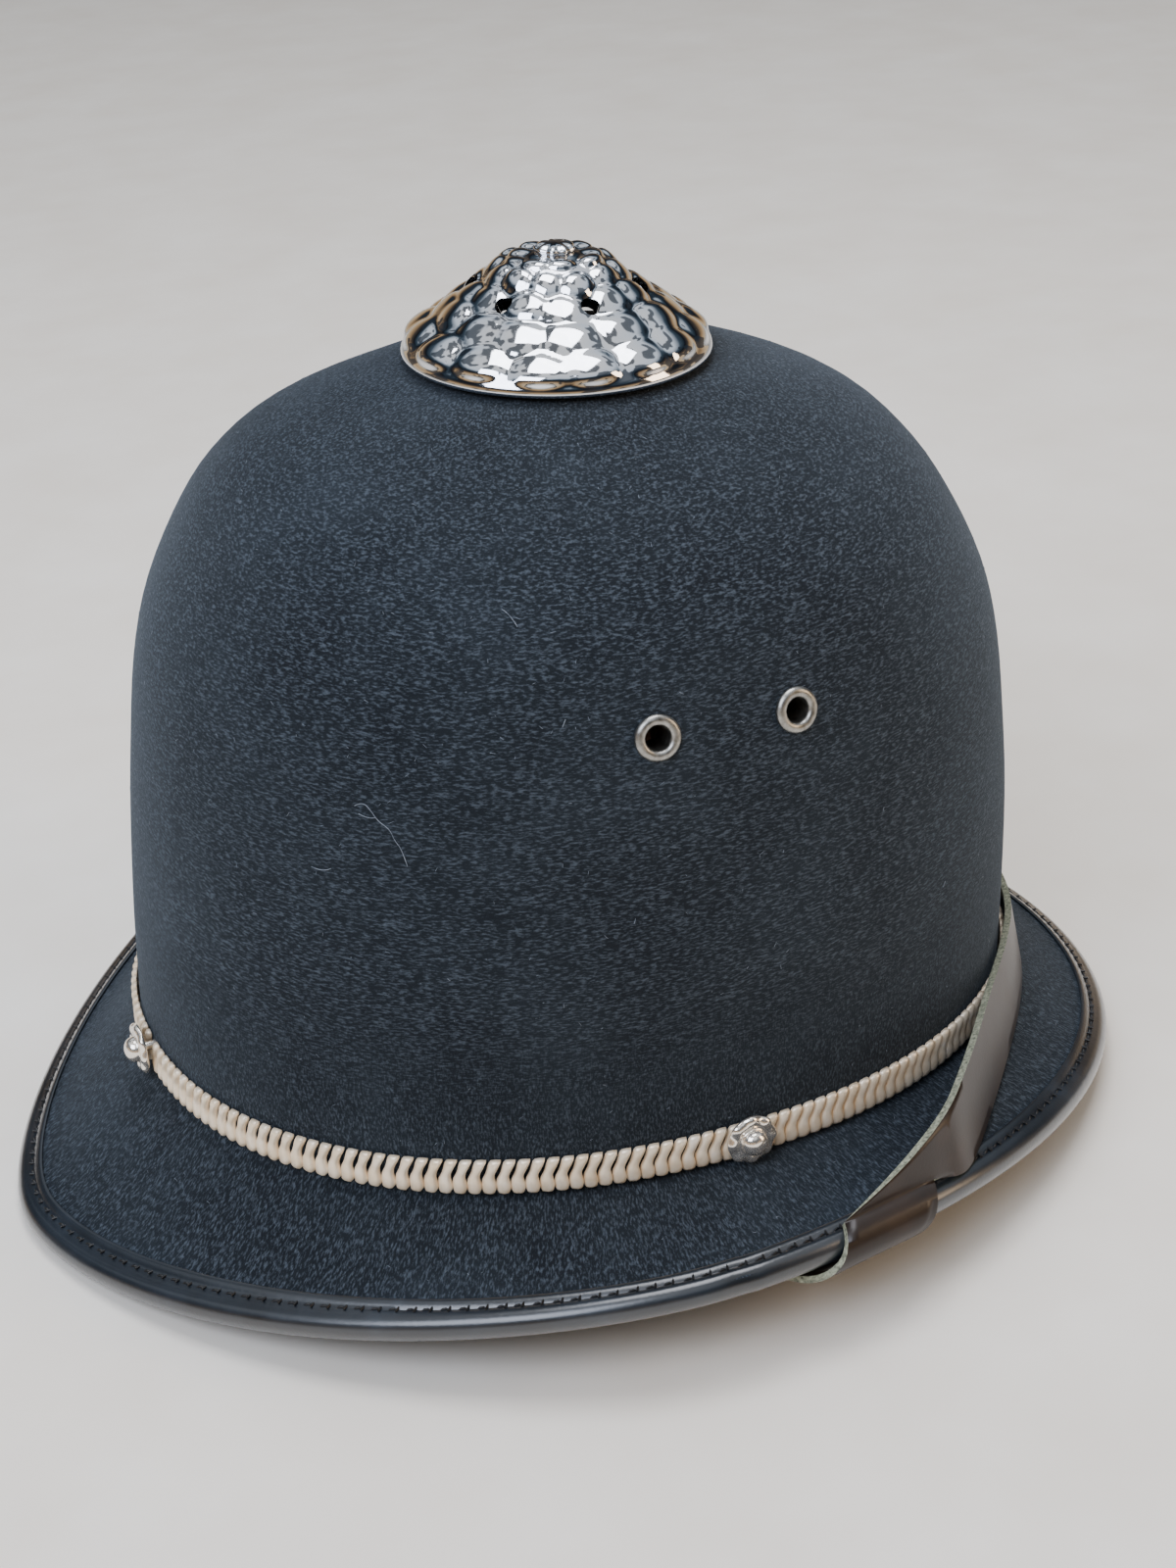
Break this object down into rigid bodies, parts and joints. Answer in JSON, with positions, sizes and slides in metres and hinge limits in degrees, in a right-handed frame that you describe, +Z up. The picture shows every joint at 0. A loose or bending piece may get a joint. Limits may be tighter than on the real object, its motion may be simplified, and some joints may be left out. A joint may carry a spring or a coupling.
{
  "type": "custodian police helmet",
  "caption": "Tall domed felt helmet with a bound brim, chain band, vented rose top and buckled chin strap, standing on its brim.",
  "frame": {"origin": "middle of the bounding box's base: the level that the brim's front and rear tips rest on", "axes": "+X the front of the helmet, -Y the wearer's right, +Z up"},
  "size_m": [0.306, 0.274, 0.2294],
  "materials": {
    "wool_felt": "dense black wool felt, matt, with a short nap",
    "cork": "pressed cork, matt",
    "lining_cloth": "dark glazed cotton lining",
    "binding_leather": "black grained leather, semi-gloss, stitched",
    "strap_leather": "smooth black leather with a raw pale cut edge",
    "sweat_leather": "tan sheepskin, smooth",
    "headband_board": "black fibre board",
    "cotton_tape": "woven cotton tape",
    "pad_cloth": "soft cloth over foam",
    "chrome": "bright chrome plate on brass",
    "nickel": "nickel-plated steel, slightly dull",
    "aluminium": "spun aluminium, plain"
  },
  "bodies": {
    "helmet": {"felt_cover": "wool_felt", "cork_shell": "cork", "brim_underlining": "lining_cloth", "brim_binding": "binding_leather", "chain_band": "chrome", "right_rosette": "chrome", "left_rosette": "chrome", "rear_rosette": "chrome", "rosette_washers": "nickel", "rose_top": "chrome", "rose_stud": "chrome", "vent_collar": "aluminium", "stud_bridge": "nickel", "stud_washer": "nickel", "wing_nut": "nickel", "vent_eyelets": "nickel", "vent_washers": "nickel", "headband": "headband_board", "sweatband": "sweat_leather", "headband_spacers": "cork", "cradle_straps": "cotton_tape", "crown_pad": "pad_cloth", "chin_strap_long": "strap_leather", "chin_strap_short": "strap_leather", "buckle_frame": "nickel", "right_strap_tab": "strap_leather", "left_strap_tab": "strap_leather", "tab_rivets": "nickel"},
    "right_ring": {"right_strap_ring": "nickel"},
    "left_ring": {"left_strap_ring": "nickel"},
    "prong": {"buckle_prong": "nickel"},
    "keeper": {"strap_keeper": "strap_leather"}
  },
  "joints": [
    {"name": "prong_hinge", "type": "hinge", "parent": "helmet", "child": "prong", "pos_m": [0.08674, 0.08122, 0.03812], "axis": [-0.2435, -0.1902, 0.9511], "range_deg": [0, 80]},
    {"name": "keeper_slide", "type": "slide", "parent": "helmet", "child": "keeper", "axis": [0.6869, -0.7267, 0], "range_m": [-0.003, 0.003]},
    {"name": "right_ring_hinge", "type": "hinge", "parent": "helmet", "child": "right_ring", "pos_m": [-0.005, -0.08757, 0.0214], "axis": [1, 0, 0], "range_deg": [-5, 5]},
    {"name": "left_ring_hinge", "type": "hinge", "parent": "helmet", "child": "left_ring", "pos_m": [-0.005, 0.08757, 0.0214], "axis": [1, 0, 0], "range_deg": [-5, 5]}
  ]
}
